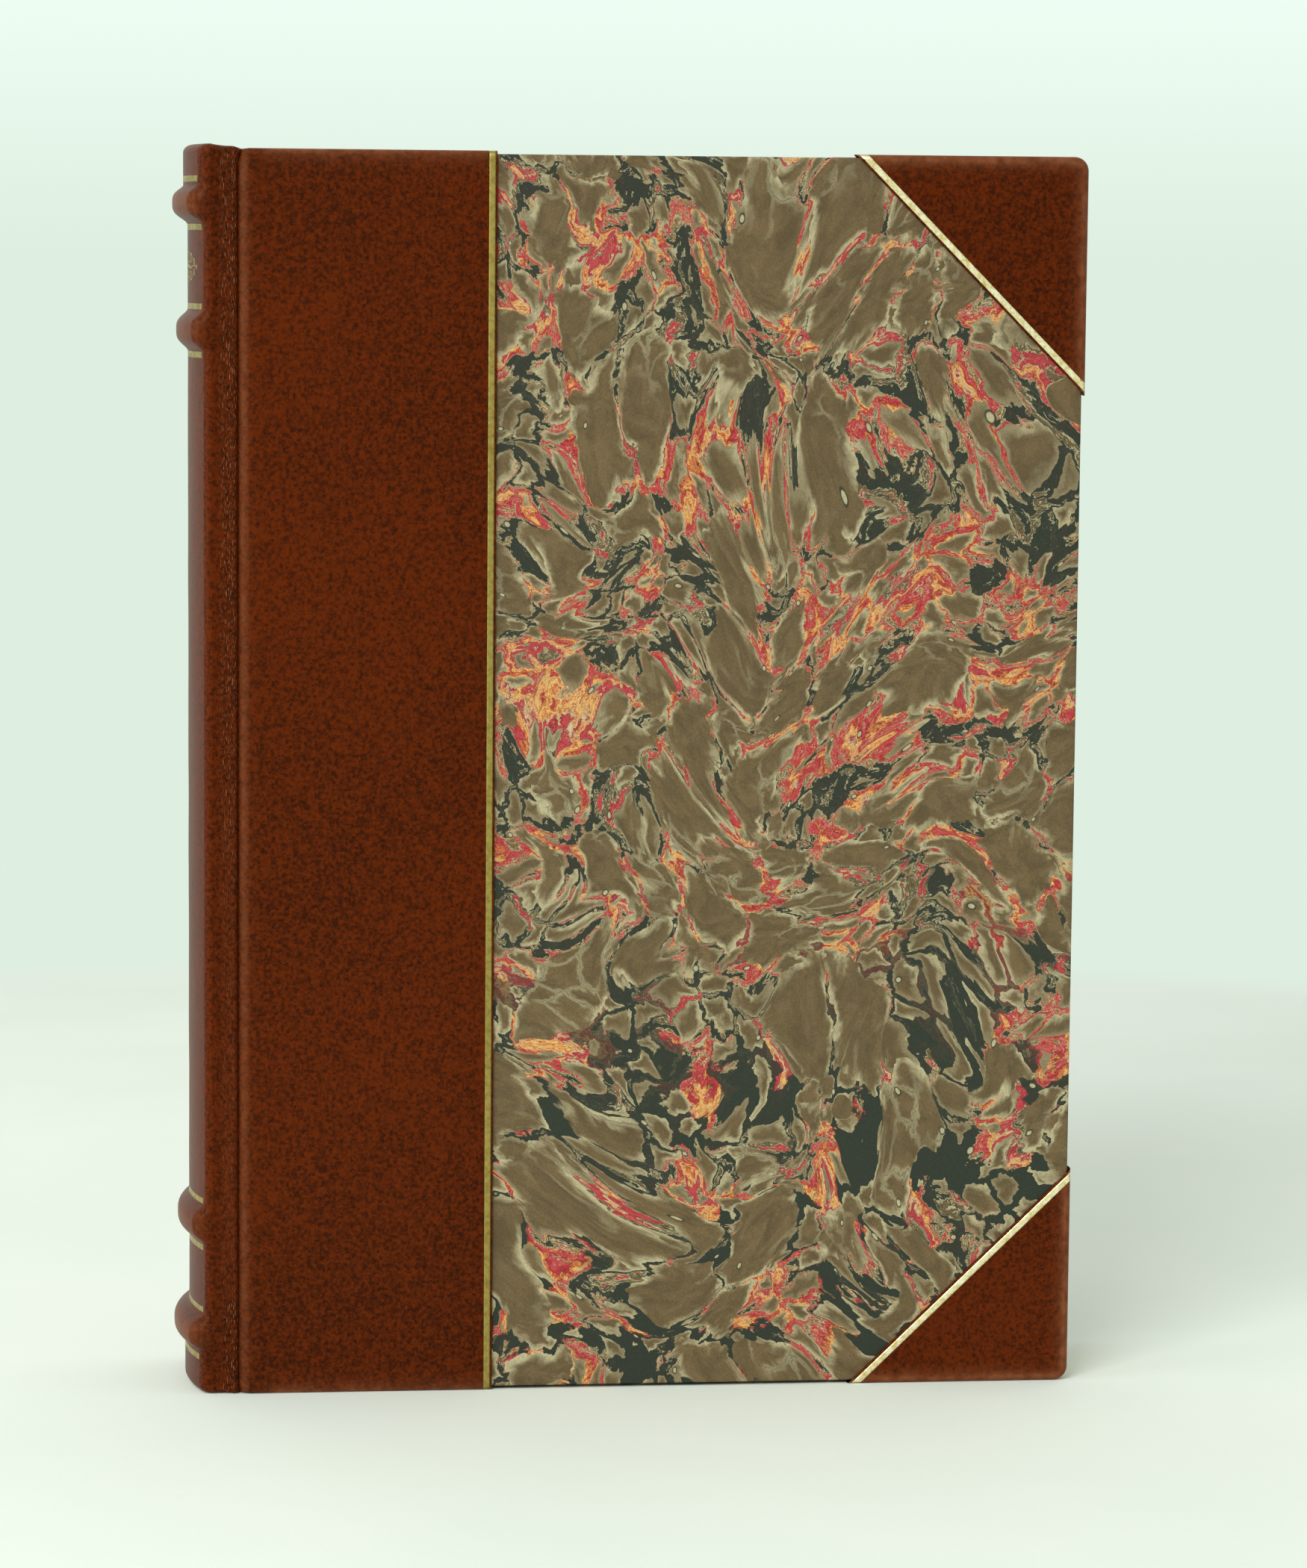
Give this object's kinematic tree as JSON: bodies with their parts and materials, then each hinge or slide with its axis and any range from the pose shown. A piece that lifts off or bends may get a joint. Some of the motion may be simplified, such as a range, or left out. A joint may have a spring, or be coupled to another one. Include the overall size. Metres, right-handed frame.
{
  "type": "half leather book",
  "caption": "Closed hardback book standing upright, half bound in leather with marbled paper sides, raised bands and covers that open.",
  "frame": {"origin": "middle of the book's footprint, on the surface that it stands on", "axes": "+Z from tail to head, +X from the spine to the fore edge, -Y out of the front cover"},
  "size_m": [0.1799, 0.035, 0.2468],
  "materials": {
    "leather": "smooth calf, semi-gloss, chestnut brown",
    "marbled_paper": "marbled in olive brown, crimson, orange, cream and black",
    "gilt": "gold foil",
    "pages": "trimmed page edges",
    "endpaper": "smooth uncoated",
    "endband": "sewn silk over a cord",
    "lining": "open mull",
    "card": "grey-brown binder's board"
  },
  "bodies": {
    "book_block": {"text_block": "pages", "front_flyleaf": "endpaper", "back_flyleaf": "endpaper", "head_endband": "endband", "tail_endband": "endband", "spine_lining": "lining", "spine_stiffener": "card", "band_core_1": "card", "band_core_2": "card", "band_core_3": "card", "band_core_4": "card", "spine_leather": "leather", "spine_fillets": "gilt"},
    "front_cover": {"front_board": "card", "front_side_leather": "leather", "front_marbled_paper": "marbled_paper", "front_head_corner": "leather", "front_tail_corner": "leather", "front_gilt_lines": "gilt", "front_pastedown": "endpaper"},
    "back_cover": {"back_board": "card", "back_side_leather": "leather", "back_marbled_paper": "marbled_paper", "back_head_corner": "leather", "back_tail_corner": "leather", "back_gilt_lines": "gilt", "back_pastedown": "endpaper"}
  },
  "joints": [
    {"name": "front_cover_hinge", "type": "hinge", "parent": "book_block", "child": "front_cover", "pos_m": [-0.07745, -0.0175, 0.123], "axis": [0, 0, -1], "range_deg": [0, 175]},
    {"name": "back_cover_hinge", "type": "hinge", "parent": "book_block", "child": "back_cover", "pos_m": [-0.07745, 0.0175, 0.123], "axis": [0, 0, 1], "range_deg": [0, 175]}
  ]
}
